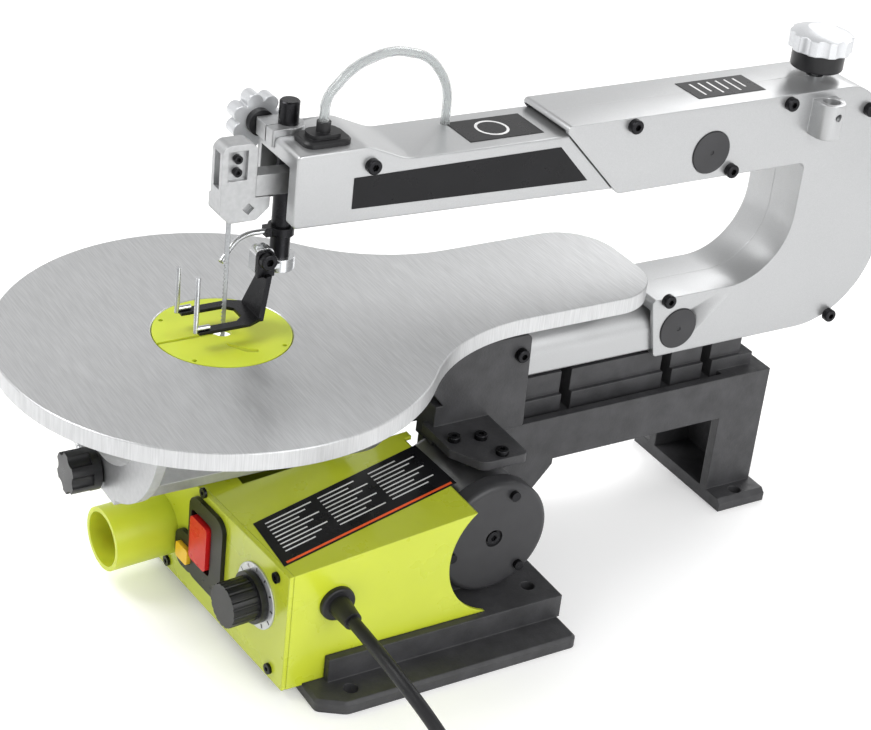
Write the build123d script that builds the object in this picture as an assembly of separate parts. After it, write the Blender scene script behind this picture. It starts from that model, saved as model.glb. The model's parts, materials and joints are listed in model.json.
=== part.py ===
from build123d import *
import math
import os

# Bench scroll saw, parallel-arm type, 406 mm throat. Millimetres.
# Working frame: X to the operator's right, Y away from the operator, Z up, blade line at X = 0, Y = 0,
# bench surface at Z = 0. Every piece is written in the final frame, moved so that the saw's box is centred.

# ---------------------------------------------------------------- driving dimensions
table_top = 188.0            # table surface above the bench
table_thick = 11.0
table_skin = 5.0             # plate left above the pocket in the table's underside
table_rim = 9.0
lobe_radius = 131.0          # round front lobe of the table
lobe_centre_y = -2.5
tail_half_width = 49.0
tail_end_y = 290.0
tail_corner = 36.0
waist_end_y = 180.0          # where the concave waist meets the straight tail
insert_radius = 41.0
insert_thick = 3.0
insert_gap = 0.4
insert_hole = 5.5
insert_ledge = 6.0           # width of the step that carries the insert
insert_slot = 2.6

throat = 406.0               # blade to the column's inner face
column_depth = 82.0
arm_half_width = 26.0        # rear sections of the arm housing
wall = 3.0
slip_gap = 0.3               # between a front section and the rear section it enters
nose_half_width = arm_half_width - wall - slip_gap
nose_face = 24.8             # side faces of the front section, a little inside the rear section's
upper_bottom = 62.5          # heights above the table surface
upper_bottom_front = 73.0
upper_top = 113.0
nose_top = 107.0
head_top = 118.0
head_front_y = 28.0
head_back_y = 74.0
step_bottom_y = 254.0        # slanted step between the front and rear upper sections
step_top_y = 206.0
lower_top = -21.5
lower_bottom = -64.5
lower_nose_top = -30.0
lower_nose_front_y = 104.0
lower_nose_round = 18.0       # rounded upper edges, which the tilted table passes
sleeve_top_y = 297.0
sleeve_bottom_y = 305.0
socket_depth = 26.0          # how far each front section enters its rear section

upper_pivot = (324.0, 81.0)  # (Y, height above the table surface)
lower_pivot = (322.0, -46.0)
pivot_radius = 6.0
running_gap = 0.05           # radial clearance of a shaft in its bore
cap_radius = 14.5
bush_radius = 9.0
boss_radius = 11.0           # bearing bosses inside the housing
rocker_half_width = 5.5
rocker_height = 13.0
rocker_rear_y = throat + 26.0
nose_reach_y = 13.0          # front end of the rocker arms
stroke_angle = 1.26          # each side of mid-stroke, degrees
blade_top = 84.0
blade_length = 127.0
blade_width = 3.0
blade_thick = 0.5
blade_clear = 0.4
clamp_right_x = 6.0
upper_front_height = 94.0    # rocker arm centre line at its front end
lower_front_height = -46.0
rod_left_x = rocker_half_width + 1.0
rod_thick = 6.0
wrist_pin_radius = 3.0

knob_centre_y = throat + 18  # blade tension rod and knob
tension_rod_radius = 3.2
tension_hole = 6.0
lug_x = arm_half_width + 7.0 # lamp socket on the column
lug_y = throat + 6.0
lug_radius = 9.5
lug_bottom = 84.0
lug_top = 108.0
lamp_bore = 6.0

hose_radius = 3.0            # blower hose from the bellows to the arm
hose_bore = 2.0
hose_end_x = -15.0
hose_end_y = 148.0
bellows_x = 8.0
bellows_y = 52.0
bellows_bore = 8.0

post_x = -13.0               # hold-down post
post_y = 40.8
post_radius = 6.0
post_top = 136.0
post_bottom = 28.5
collar_radius = 9.5          # split collar in the head, with two ears and a clamp screw
collar_bottom = 112.0
collar_top = 122.0
ear_front_y = 26.5
ear_left_x = -26.0
ear_right_x = -4.0
lock_y = 30.8                # clamp screw of the collar
lock_height = 117.0
lock_screw_radius = 2.5
foot_height = 9.5            # underside of the drop foot above the table
foot_ring = (30.0, 38.0)     # ring of the foot clamp, heights above the table
foot_screw_y = 25.0
foot_screw_height = 43.5
foot_screw_radius = 2.5
clip_height = 54.5
nozzle_radius = 1.7

motor_y = 144.0
motor_z = 66.0
motor_radius = 35.0
cover_radius = 38.5
motor_left_x = 22.0
motor_right_x = 84.0
cover_depth = 12.0
shaft_radius = 5.0
crank_throw = 3.93
crank_pin_radius = 4.0

housing_right_x = 110.0
housing_left_x = -78.0
housing_rear_y = 152.0
housing_bottom = 7.0
housing_top_front = 87.0     # top at the front edge, rising to the rear
housing_top_rear = 103.0
housing_wall = 2.5
rear_wall_end_x = -36.0      # the back is closed to the left of this, and open to the arm cradle and the motor
panel_thick = 3.0
panel_yaw = 4.5              # the control panel's left end stands forward
panel_right_y = -4.0
port_outer = 20.5
port_bore = 17.5
port_length = 42.0
port_at = (-146.5, 36.0)     # places on the panel: across from its right edge, and height
dial_at = (-33.0, 54.0)
dial_radius = 20.5
knob_radius = 13.5
knob_length = 23.0
bezel_depth = 3.0
paddle_at = (-95.0, 53.0)
key_at = (-113.0, 35.0)

flange_thick = 8.0
flange_right_x = 137.0
flange_left_x = -88.0
flange_front_y = 10.0
flange_rear_y = 188.0
block_top = 24.0
block_right_x = 115.0
block_left_x = -62.0
beam_half_width = 34.0
beam_top = 99.0
beam_bottom = 67.0
beam_wall = 6.0
leg_front_y = 366.0
leg_rear_y = 404.0
foot_half_width = 50.0
foot_thick = 9.0
bolt_radius = 4.5

trunnion_outer = 86.0
trunnion_inner = 64.0
trunnion_slot = 75.0
trunnion_thick = 6.0
trunnion_front_y = -76.0
trunnion_rear_y = 68.0
bevel_screw_radius = 3.0
tray_half_width = 12.0
seat_gap = 0.4

gland_y = 28.0
gland_z = 61.5
gland_hole = 8.0
gland_length = 20.0
cord_radius = 4.0
coil_x = 318.0               # the spare cord, coiled on the bench to the right of the saw
coil_y = 122.0
coil_radius = 44.0           # middle of its turns
coil_rows = 3
coil_layers = 2
plug_length = 34.0
plug_width = 25.0
plug_thick = 17.0

saw_front_y = lobe_centre_y - lobe_radius
saw_rear_y = throat + column_depth
centre_y = (saw_front_y + saw_rear_y) / 2
centre_x = (flange_right_x - lobe_radius) / 2
T = table_top
tray_bottom = T - 96.0
tray_top = T - 89.5


# ---------------------------------------------------------------- helpers
def block(x0, x1, y0, y1, z0, z1):
    return Pos((x0 + x1) / 2, (y0 + y1) / 2, (z0 + z1) / 2) * Box(x1 - x0, y1 - y0, z1 - z0)


def rod_x(x0, x1, y, z, radius):
    return Pos((x0 + x1) / 2, y, z) * Rot(0, 90, 0) * Cylinder(radius, abs(x1 - x0))


def rod_y(x, y0, y1, z, radius):
    return Pos(x, (y0 + y1) / 2, z) * Rot(90, 0, 0) * Cylinder(radius, abs(y1 - y0))


def rod_z(x, y, z0, z1, radius):
    return Pos(x, y, (z0 + z1) / 2) * Cylinder(radius, abs(z1 - z0))


def outline(points, radii=None):
    if radii is None:
        return make_face(Polyline(*points, close=True))
    return make_face(FilletPolyline(*points, radius=radii, close=True))


def slab_x(face, x0, x1):
    """A (Y, Z) outline made solid from x0 to x1."""
    return extrude(Plane.YZ.offset(x0) * face, x1 - x0)


def slab_y(face, y0, y1):
    """An (X, Z) outline made solid from y0 to y1."""
    return extrude(Plane((0, y1, 0), x_dir=(1, 0, 0), z_dir=(0, -1, 0)) * face, y1 - y0)


def slab_z(face, z0, z1):
    return extrude(Plane.XY.offset(z0) * face, z1 - z0)


parts = {}


def add(name, shape):
    parts[name] = Pos(-centre_x, -centre_y, 0) * shape


# ---------------------------------------------------------------- arm housing
def upper_outline(grow=0.0):
    """Thick rear part of the upper arm, column and lower sleeve: a C open to the front."""
    g = grow
    return outline(
        [
            (step_bottom_y + g, T + upper_bottom - g),
            (step_top_y + g, T + upper_top + g),
            (throat + 38, T + upper_top + g),
            (saw_rear_y + g, T + upper_top - 34),
            (saw_rear_y + g, T + lower_bottom - g),
            (sleeve_bottom_y - g, T + lower_bottom - g),
            (sleeve_top_y - g, T + lower_top + g),
            (throat - g, T + lower_top + g),
            (throat - g, T + upper_bottom - g),
        ],
        [4, 3, 34, 30, 62 + g, 3, 3, 46 - g, 5],
    )


def nose_outline(grow=0.0):
    """Slim front part of the upper arm with the raised head at its front end."""
    g = grow
    back = step_bottom_y + socket_depth
    back_bottom = upper_bottom + wall + slip_gap
    return outline(
        [
            (head_front_y - g, T + upper_bottom_front - g),
            (head_front_y - g, T + head_top + g),
            (head_back_y, T + head_top + g),
            (head_back_y + 26, T + nose_top + g),
            (back, T + nose_top - 1 + g),
            (back, T + back_bottom - g),
            (step_bottom_y - 6, T + back_bottom - g),
        ],
        [3, 3, 18, 24, 2, 2, 20],
    )


def lower_nose_outline(grow=0.0):
    """Slim front part of the lower arm."""
    g = grow
    back = sleeve_bottom_y + socket_depth
    return outline(
        [
            (lower_nose_front_y - g, T + lower_bottom + wall + slip_gap - g),
            (lower_nose_front_y - g, T + lower_nose_top + g),
            (back, T + lower_nose_top + g),
            (back, T + lower_bottom + wall + slip_gap - g),
        ],
        [3, 3, 2, 2],
    )


def rear_shell():
    outer = slab_x(upper_outline(), -arm_half_width, arm_half_width)
    inner = slab_x(upper_outline(-wall), wall - arm_half_width, arm_half_width - wall)
    reach = nose_half_width + slip_gap
    upper_mouth = slab_x(nose_outline(slip_gap), -reach, reach)
    lower_mouth = slab_x(lower_nose_outline(slip_gap), -reach, reach)
    return outer - inner - upper_mouth - lower_mouth


def pivot_bores(shape, radius):
    for y, height in (upper_pivot, lower_pivot):
        shape -= rod_x(-arm_half_width - 1, arm_half_width + 1, y, T + height, radius)
    return shape


def cap_recess(shape):
    for y, height in (upper_pivot, lower_pivot):
        for x in (-arm_half_width, arm_half_width):
            shape -= rod_x(x - 1.2, x + 1.2, y, T + height, cap_radius + 0.2)
    return shape


def collar_blank(grow=0.0):
    """Ring and ears of the hold-down collar before boring."""
    g = grow
    blank = rod_z(post_x, post_y, T + collar_bottom - g, T + collar_top + g, collar_radius + g)
    return blank + block(ear_left_x - g, ear_right_x + g, ear_front_y - g, post_y, T + collar_bottom - g,
                         T + collar_top + g)


def add_housings():
    shell = rear_shell()
    shell -= rod_z(0, knob_centre_y, T + upper_top - 12, T + upper_top + 4, tension_hole)
    for y, height in (upper_pivot, lower_pivot):
        for side in (-1, 1):
            boss = rod_x(side * (rocker_half_width + 2.5), side * (arm_half_width - wall + 0.5), y, T + height, boss_radius)
            shell += boss
    shell = cap_recess(pivot_bores(shell, pivot_radius))
    right = shell & block(0, 60, 0, 600, 0, 400)
    left = shell & block(-60, 0, 0, 600, 0, 400)
    lug = rod_z(lug_x, lug_y, T + lug_bottom, T + lug_top, lug_radius)
    lug += block(arm_half_width - 0.5, lug_x, lug_y - lug_radius, lug_y + lug_radius, T + lug_bottom, T + lug_top)
    lug -= rod_z(lug_x, lug_y, T + lug_bottom + 3, T + lug_top + 1, lamp_bore)
    lug -= rod_x(lug_x, lug_x + 20, lug_y, T + lug_top - 8, 2.5)
    lug -= block(0, arm_half_width, lug_y - 20, lug_y + 20, T + 60, T + 130)
    add("frame_right", right + lug)
    add("frame_left", left)

    outer = slab_x(nose_outline(), -nose_half_width, nose_half_width)
    exposed = slab_x(nose_outline(), -nose_face, nose_face)
    rear = slab_x(upper_outline(), -arm_half_width, arm_half_width)
    outer += exposed - rear - Pos(0, -slip_gap, 0) * rear
    nose = outer - slab_x(nose_outline(-wall), wall - nose_half_width, nose_half_width - wall)
    back = step_bottom_y + socket_depth
    nose -= block(wall - nose_half_width, nose_half_width - wall, back - 8, back + 1,
                  T + upper_bottom + 2 * wall + slip_gap, T + nose_top - 1 - wall)
    nose -= block(wall - nose_half_width, 16.0, head_front_y - 1, post_y, T + 60, T + 108)
    nose -= rod_z(post_x, post_y, 0, T + collar_bottom, post_radius + running_gap)
    nose -= collar_blank(slip_gap)
    nose -= rod_z(hose_end_x, hose_end_y, T + nose_top - 8, T + nose_top + 4, hose_radius + running_gap)
    nose -= rod_z(bellows_x, bellows_y, T + head_top - 8, T + head_top + 4, bellows_bore)
    add("upper_front_housing", nose)

    bottom = T + lower_bottom + wall + slip_gap
    top = T + lower_nose_top
    back = sleeve_bottom_y + socket_depth
    section = outline([(-nose_half_width, bottom), (nose_half_width, bottom), (nose_half_width, top),
                       (-nose_half_width, top)], [2, 2, lower_nose_round, lower_nose_round])
    lower = slab_y(section, lower_nose_front_y, back)
    cavity = block(-11.0, 11.0, lower_nose_front_y - 1, back + 1, bottom + wall, top - wall)
    lower -= block(rod_left_x - 2, rod_left_x + rod_thick + 2.5, motor_y - 20, motor_y + 20, bottom - 1, top - wall)
    y, height = lower_pivot
    lower -= rod_x(-arm_half_width, arm_half_width, y, T + height, boss_radius + slip_gap)
    lower -= rod_x(-boss_radius, boss_radius, y, T + height, boss_radius + wall)
    add("lower_front_housing", lower - cavity)


def add_frame_hardware():
    caps = []
    pins = []
    for y, height in (upper_pivot, lower_pivot):
        pins.append(rod_x(-arm_half_width + 1.4, arm_half_width - 1.4, y, T + height, pivot_radius))
        for side in (-1, 1):
            x0, x1 = sorted((side * (arm_half_width - 1.2), side * (arm_half_width + 0.9)))
            cap = rod_x(x0, x1, y, T + height, cap_radius)
            face = cap.faces().sort_by(Axis.X)[-1 if side > 0 else 0]
            cap = fillet(face.edges(), 0.7)
            cap -= rod_x(side * (arm_half_width + 0.9) - 0.5, side * (arm_half_width + 0.9) + 0.5, y, T + height, 1.6)
            caps.append(cap)
    add("pivot_caps", Compound(children=caps))
    add("pivot_pins", Compound(children=pins))

    screws = []
    places = [
        (nose_face, 76.0, nose_top - 0.5),
        (arm_half_width, 259.0, upper_top - 5.0),
        (arm_half_width, 383.0, upper_top - 5.5),
        (arm_half_width, 455.0, lower_bottom + 4.5),
        (arm_half_width, 453.0, upper_top - 18.0),
        (arm_half_width, 309.0, lower_top - 1.0),
        (arm_half_width, 342.0, upper_bottom + 4.0),
    ]
    for x, y, height in places:
        screws.append(cap_screw_x(x, y, T + height))
    add("housing_screws", Compound(children=screws))

    collar = fillet(collar_blank().edges().filter_by(Axis.Z), 1.5)
    collar -= rod_z(post_x, post_y, 0, T + collar_top + 1, post_radius + running_gap)
    collar -= rod_x(ear_left_x - 1, ear_right_x - 2, lock_y, T + lock_height, lock_screw_radius + running_gap)
    collar -= block(post_x - 0.6, post_x + 0.6, 0, post_y, T, T + collar_top + 1)
    add("post_guide", collar)

    top = T + head_top
    lid = slab_z(Pos(bellows_x, bellows_y) * RectangleRounded(21, 30, 6), top, top + 3.5)
    lid = chamfer(lid.edges().group_by(Axis.Z)[-1], 1.2)
    lid += slab_z(Pos(bellows_x, bellows_y) * RectangleRounded(14, 20, 5), top + 3.5, top + 6)
    lid += rod_z(bellows_x, bellows_y, top + 6, top + 12, 4.2)
    lid += rod_z(bellows_x, bellows_y, top - 7, top, bellows_bore)
    lid -= rod_z(bellows_x, bellows_y, top - 8, top + 13, 1.6)
    add("bellows", lid)
    add("air_hose", hose_tube())


def cap_screw_x(x, y, z):
    """Socket cap screw, its head on the right face at x."""
    head = rod_x(x, x + 4.5, y, z, 4.6)
    head = fillet(head.faces().sort_by(Axis.X)[-1].edges(), 1.0)
    socket = extrude(Plane.YZ.offset(x + 4.5) * Pos(y, z) * RegularPolygon(2.2, 6), -2.6)
    return head - socket


hose_points = [
    (bellows_x, bellows_y, T + head_top + 12),
    (bellows_x, bellows_y, T + 144),
    (4.0, 70.0, T + 159),
    (-4.0, 99.0, T + 163.5),
    (-12.0, 131.0, T + 153),
    (hose_end_x, hose_end_y, T + 131),
    (hose_end_x, hose_end_y, T + nose_top - 2.5),
]


def run_radii(points, share=0.45):
    """Each corner's arc is as large as its two runs allow."""
    radii = []
    for before, here, after in zip(points, points[1:], points[2:]):
        into = Vector(*here) - Vector(*before)
        out = Vector(*after) - Vector(*here)
        turn = math.radians(into.get_angle(out))
        radii.append(share * min(into.length, out.length) / math.tan(turn / 2))
    return radii


def tube_along(points, radius, bore=None):
    path = FilletPolyline(*points, radius=run_radii(points))
    section = Plane(path @ 0, z_dir=path % 0) * Circle(radius)
    tube = sweep(section, path)
    if bore:
        tube -= sweep(Plane(path @ 0, z_dir=path % 0) * Circle(bore), path)
    return tube, path.length


def hose_tube():
    tube, length = tube_along(hose_points, hose_radius, hose_bore)
    return tube


# ---------------------------------------------------------------- table
def waist_radius():
    """Concave arc tangent to the lobe and to the tail's straight side."""
    w = waist_end_y - lobe_centre_y
    t = tail_half_width
    return (w * w + t * t - lobe_radius ** 2) / (2 * (lobe_radius - t))


def table_face():
    r = waist_radius()
    t = tail_half_width
    centre = Vector(t + r, waist_end_y)
    lobe = Vector(0, lobe_centre_y)
    touch = lobe + (centre - lobe).normalized() * lobe_radius
    middle = centre + ((touch + Vector(t, waist_end_y)) / 2 - centre).normalized() * r
    mirror_x = lambda p: Vector(-p.X, p.Y)
    start = Vector(t, waist_end_y)
    low = Vector(t, tail_end_y - tail_corner)
    end = Vector(t - tail_corner, tail_end_y)
    k = tail_corner * math.sqrt(0.5)
    bend = Vector(t - tail_corner + k, tail_end_y - tail_corner + k)
    edges = [
        ThreePointArc(mirror_x(touch), Vector(0, saw_front_y), touch),
        ThreePointArc(touch, middle, start),
        Line(start, low),
        ThreePointArc(low, bend, end),
        Line(end, mirror_x(end)),
        ThreePointArc(mirror_x(end), mirror_x(bend), mirror_x(low)),
        Line(mirror_x(low), mirror_x(start)),
        ThreePointArc(mirror_x(start), mirror_x(middle), mirror_x(touch)),
    ]
    return make_face(edges)


def add_table():
    face = table_face()
    table = slab_z(face, T - table_thick, T)
    pocket = slab_z(offset(face, -table_rim), T - table_thick, T - table_skin)
    ring = rod_z(0, 0, T - table_thick, T, insert_radius + insert_ledge)
    pads = block(-92, 92, trunnion_front_y - 4, trunnion_front_y + 10, T - table_thick, T - table_skin)
    pads += block(-92, 92, trunnion_rear_y - 4, trunnion_rear_y + 10, T - table_thick, T - table_skin)
    table = table - pocket + ring + (pads & slab_z(face, 0, T))
    table -= rod_z(0, 0, T - insert_thick - 0.1, T + 1, insert_radius + insert_gap)
    table -= rod_z(0, 0, T - table_thick - 1, T, insert_radius - insert_ledge)
    table = chamfer(table.edges().group_by(Axis.Z)[-1], 0.6)
    add("table", table)

    insert = rod_z(0, 0, T - insert_thick, T, insert_radius)
    insert -= rod_z(0, 0, 0, T + 1, insert_hole)
    insert -= block(-insert_slot / 2, insert_slot / 2, -insert_radius - 1, 0, 0, T + 1)
    for x, y in ((-25, -28), (27, 27), (25, -29)):
        insert -= rod_z(x, y, 0, T + 1, 1.5)
    groove = Plane.XY.offset(T - insert_thick) * make_face(Polyline(
        (13.0, -4.0), (16.5, -4.0), (26.5, 3.0), (29.0, 9.5), (26.0, 10.5), (23.0, 5.5), close=True))
    insert -= extrude(groove, insert_thick + 1)
    add("table_insert", insert)

    for name, y in (("front", trunnion_front_y), ("rear", trunnion_rear_y)):
        arc = rod_y(0, y, y + trunnion_thick, T, trunnion_outer) - rod_y(0, y - 1, y + 7, T, trunnion_inner)
        arc &= block(-200, 200, y - 1, y + 8, T - 200, T - table_thick)
        foot = block(-trunnion_outer + 4, -trunnion_inner - 2, y - 4, y + 10, T - table_thick - 5, T - table_thick)
        foot += block(trunnion_inner + 2, trunnion_outer - 4, y - 4, y + 10, T - table_thick - 5, T - table_thick)
        arc += foot
        if name == "front":
            arc -= arc_slot(y)
        add("trunnion_" + name, arc)


def arc_slot(y):
    """Curved slot for the bevel clamp screw, from straight down to 45 degrees towards the left."""
    wide = bevel_screw_radius + 0.5
    ring = rod_y(0, y - 1, y + trunnion_thick + 1, T, trunnion_slot + wide)
    ring -= rod_y(0, y - 2, y + trunnion_thick + 2, T, trunnion_slot - wide)
    reach = trunnion_outer + 10
    sector = make_face(Polyline((0, T), (0, T - reach), (-reach, T - reach), close=True))
    slot = ring & slab_y(sector, y - 2, y + trunnion_thick + 2)
    for degrees in (0, 45):
        a = math.radians(degrees)
        slot += rod_y(-trunnion_slot * math.sin(a), y - 1, y + trunnion_thick + 1,
                      T - trunnion_slot * math.cos(a), wide)
    return slot


# ---------------------------------------------------------------- table support and bevel clamp
def add_table_support():
    front_seat = (trunnion_front_y + trunnion_thick + seat_gap, 8.0)
    rear_seat = (trunnion_rear_y + trunnion_thick + seat_gap, 8.0)
    tray = block(-tray_half_width, tray_half_width, front_seat[0], rear_seat[0] + 20, tray_bottom, tray_top)
    for y, thick in (front_seat, rear_seat):
        plate = rod_y(0, y, y + thick, T, trunnion_outer - 2) - rod_y(0, y - 1, y + thick + 1, T, trunnion_inner + 2)
        plate &= block(-26, 26, y - 1, y + thick + 1, 0, T)
        tray += plate + block(-tray_half_width, tray_half_width, y, y + thick, tray_bottom, T - trunnion_inner - 6)
    back = rear_seat[0]
    tray += block(-tray_half_width, tray_half_width, back, lower_nose_front_y, tray_bottom, T - 70)
    tray += block(-tray_half_width, tray_half_width, back + 12, lower_nose_front_y, T - 70.5, T - 60.5)
    tray -= rod_y(0, front_seat[0] - 1, front_seat[0] + 9, T - trunnion_slot, bevel_screw_radius + running_gap)
    add("table_support", tray)

    front = trunnion_front_y - 1.5
    z = T - trunnion_slot
    knob = rod_y(0, front - 18, front, z, 13.0)
    for index in range(6):
        a = math.radians(60 * index)
        knob -= rod_y(15.5 * math.cos(a), front - 19, front - 5, z + 15.5 * math.sin(a), 5.0)
    knob += rod_y(0, front - 1, front + 1.2, z, 5.0)
    knob += rod_y(0, front, front_seat[0] + 10, z, bevel_screw_radius)
    add("bevel_lock_knob", knob)

    plate = rod_y(0, trunnion_front_y - 1.0, trunnion_front_y, T, trunnion_outer - 1.5)
    plate -= rod_y(0, trunnion_front_y - 2, trunnion_front_y + 1, T, trunnion_slot + 5.5)
    plate &= slab_y(make_face(Polyline((0, T), (12, T - 100), (-100, T - 100), (-100, T - 88), close=True)),
                    trunnion_front_y - 2, trunnion_front_y + 1)
    add("bevel_scale", plate)


# ---------------------------------------------------------------- base
def add_base():
    corner = 12
    flange = slab_z(
        make_face(FilletPolyline(
            (flange_left_x, flange_front_y), (flange_right_x - 10, flange_front_y),
            (flange_right_x, flange_front_y + 16), (flange_right_x, flange_rear_y),
            (flange_left_x, flange_rear_y), radius=[corner, 5, 9, 5, corner], close=True)),
        0, flange_thick)
    flange = chamfer(flange.edges().group_by(Axis.Z)[-1], 2.0)
    base = flange + block(block_left_x, block_right_x, 24, flange_rear_y, flange_thick, block_top)
    saddle = block(motor_left_x, motor_right_x, motor_y - 24, motor_y + 24, block_top, motor_z)
    saddle += block(motor_left_x - 40, motor_left_x, motor_y - 8, motor_y + 44, block_top, 60)
    base += saddle
    neck = outline([(164, block_top - 2), (181, block_top - 2), (181, beam_top), (228, beam_top),
                    (228, beam_bottom - 4), (212, 44), (206, 8), (164, 8)])
    base += slab_x(neck, -beam_half_width, beam_half_width)
    base += block(-beam_half_width, beam_half_width, flange_rear_y, leg_rear_y, beam_bottom, beam_top)
    trough = beam_half_width - beam_wall
    base -= block(-trough, trough, flange_rear_y + 14, leg_rear_y - 9, beam_top - 14, beam_top + 1)
    ledge = trough - 5
    base += block(-ledge, ledge, flange_rear_y + 14, leg_rear_y - 9, beam_top - 15, beam_top + 9)
    platform = ledge - 3
    base += block(-platform, platform, 206, leg_rear_y - 18, beam_top + 8, T + lower_bottom)
    for y in (236, 318, 352):
        base -= block(-ledge - 1, ledge + 1, y, y + 8, beam_top - 4, T)
    base -= block(-24, 24, 236, leg_front_y - 6, 0, beam_top - 24)
    leg = slab_y(outline([(-beam_half_width, beam_top), (beam_half_width, beam_top),
                          (beam_half_width, foot_thick), (-beam_half_width, foot_thick)]),
                 leg_front_y, leg_rear_y)
    leg -= block(-beam_half_width + 7, beam_half_width - 7, leg_front_y - 1, leg_rear_y - 8, foot_thick, beam_bottom)
    foot = block(-foot_half_width, foot_half_width, leg_front_y, leg_rear_y + 2, 0, foot_thick)
    foot = chamfer(foot.edges().filter_by(Axis.Y).group_by(Axis.Z)[-1], 3.0)
    base += leg + foot
    base -= block(block_left_x + 7, block_right_x - 32, 31, flange_rear_y - 7, -1, block_top - 8)
    motor_bed = rod_x(motor_left_x - 1, motor_right_x + 60, motor_y, motor_z, motor_radius)
    cover_bed = rod_x(motor_right_x - 0.5, motor_right_x + 60, motor_y, motor_z, cover_radius + 1.5)
    base -= motor_bed + cover_bed
    base -= rod_x(-60, motor_left_x, motor_y, motor_z, 15)
    base -= block(-14, motor_left_x - 9, motor_y - 20, motor_y + 30, block_top + 4, 90)
    for x, y, top in bench_holes():
        base -= rod_z(x, y, -1, top + 1, bolt_radius)
    add("base", base)


def bench_holes():
    side = foot_half_width - 8
    rear = (leg_front_y + leg_rear_y) / 2
    return [
        (flange_right_x - 12, 34.0, flange_thick),
        (flange_left_x + 12, 34.0, flange_thick),
        (98.0, flange_rear_y - 15, block_top),
        (side, rear, foot_thick),
        (-side, rear, foot_thick),
    ]


# ---------------------------------------------------------------- arm cradle
def add_cradle():
    inner = arm_half_width + slip_gap
    outer = inner + 8
    cheek = outline(
        [(120, T - 40), (134, T - 22), (198, T - 22), (200, beam_top), (160, beam_top)],
        [4, 5, 4, 2, 6])
    cradle = slab_x(cheek, inner, outer)
    low = cheek & (Pos(160, T - 116) * Rectangle(120, 120))
    cradle += slab_x(low, -outer, -inner)
    floor_top = T + lower_bottom + wall + slip_gap
    cradle += block(-outer, outer, 132, 186, 99, floor_top)
    cradle -= block(rod_left_x - 2, rod_left_x + rod_thick + 2, motor_y - 20, motor_y + 20, 90, T)
    cradle -= block(-inner, inner, 100, 210, floor_top, T)
    lug_top = floor_top - 14
    lug_plan = outline([(inner, 128), (60, 128), (82, 140), (82, 172), (inner, 172)], [2, 4, 8, 4, 2])
    cradle += slab_z(lug_plan, lug_top - 6, lug_top)
    cradle -= rod_x(motor_left_x - 1, motor_right_x + 1, motor_y, motor_z, motor_radius + 1)
    cradle -= rod_x(0, motor_left_x, motor_y, motor_z, motor_radius - 2)
    cradle = cradle - rod_x(inner - 1, outer + 1, 191, T - 35, 2.6)
    add("arm_cradle", cradle)
    screws = [cap_screw_x(outer, 191.0, T - 35.0)]
    for x, y in ((52.0, 136.0), (56.0, 153.0), (76.0, 156.0)):
        head = rod_z(x, y, lug_top, lug_top + 3.5, 4.2)
        head = fillet(head.faces().sort_by(Axis.Z)[-1].edges(), 0.8)
        head -= extrude(Plane.XY.offset(lug_top + 3.5) * Pos(x, y) * RegularPolygon(2.0, 6), -2.0)
        screws.append(head)
    add("cradle_screws", Compound(children=screws))


# ---------------------------------------------------------------- rocker arms, blade and blade clamps
def rocker(pivot, front_height, rear_height):
    half = rocker_height / 2
    y0, height = pivot
    face = outline([
        (nose_reach_y, T + front_height - half), (nose_reach_y, T + front_height + half),
        (y0, T + height + half + 1), (rocker_rear_y, T + rear_height + half),
        (rocker_rear_y, T + rear_height - half), (y0, T + height - half - 1)])
    arm = slab_x(face, -rocker_half_width, rocker_half_width)
    arm += rod_x(-rocker_half_width, rocker_half_width, y0, T + height, boss_radius + 1.5)
    web = 2.0
    for side in (-1, 1):
        for start, end in ((40.0, y0 - 30), (y0 + 24, rocker_rear_y - 22)):
            t0 = (start - nose_reach_y) / (y0 - nose_reach_y)
            t1 = (end - nose_reach_y) / (y0 - nose_reach_y)
            z0 = front_height + (height - front_height) * min(t0, 1)
            z1 = front_height + (height - front_height) * min(t1, 1)
            grip = half - 3
            pocket = outline([(start, T + z0 - grip), (start, T + z0 + grip),
                              (end, T + z1 + grip), (end, T + z1 - grip)])
            x0, x1 = sorted((side * web, side * (rocker_half_width + 1)))
            arm -= slab_x(pocket, x0, x1)
    arm -= rod_x(-20, 20, y0, T + height, bush_radius)
    arm -= rod_z(0, knob_centre_y, 0, T + 200, tension_rod_radius + 0.9)
    return arm


def bush(pivot):
    y, height = pivot
    reach = rocker_half_width + 2.0
    ring = rod_x(-reach, reach, y, T + height, bush_radius)
    return ring - rod_x(-20, 20, y, T + height, pivot_radius + running_gap)


def blade_slot(z0, z1):
    gap = blade_thick / 2 + blade_clear
    return block(-gap, gap, -blade_width / 2 - blade_clear, blade_width / 2 + blade_clear, z0, z1)


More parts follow.
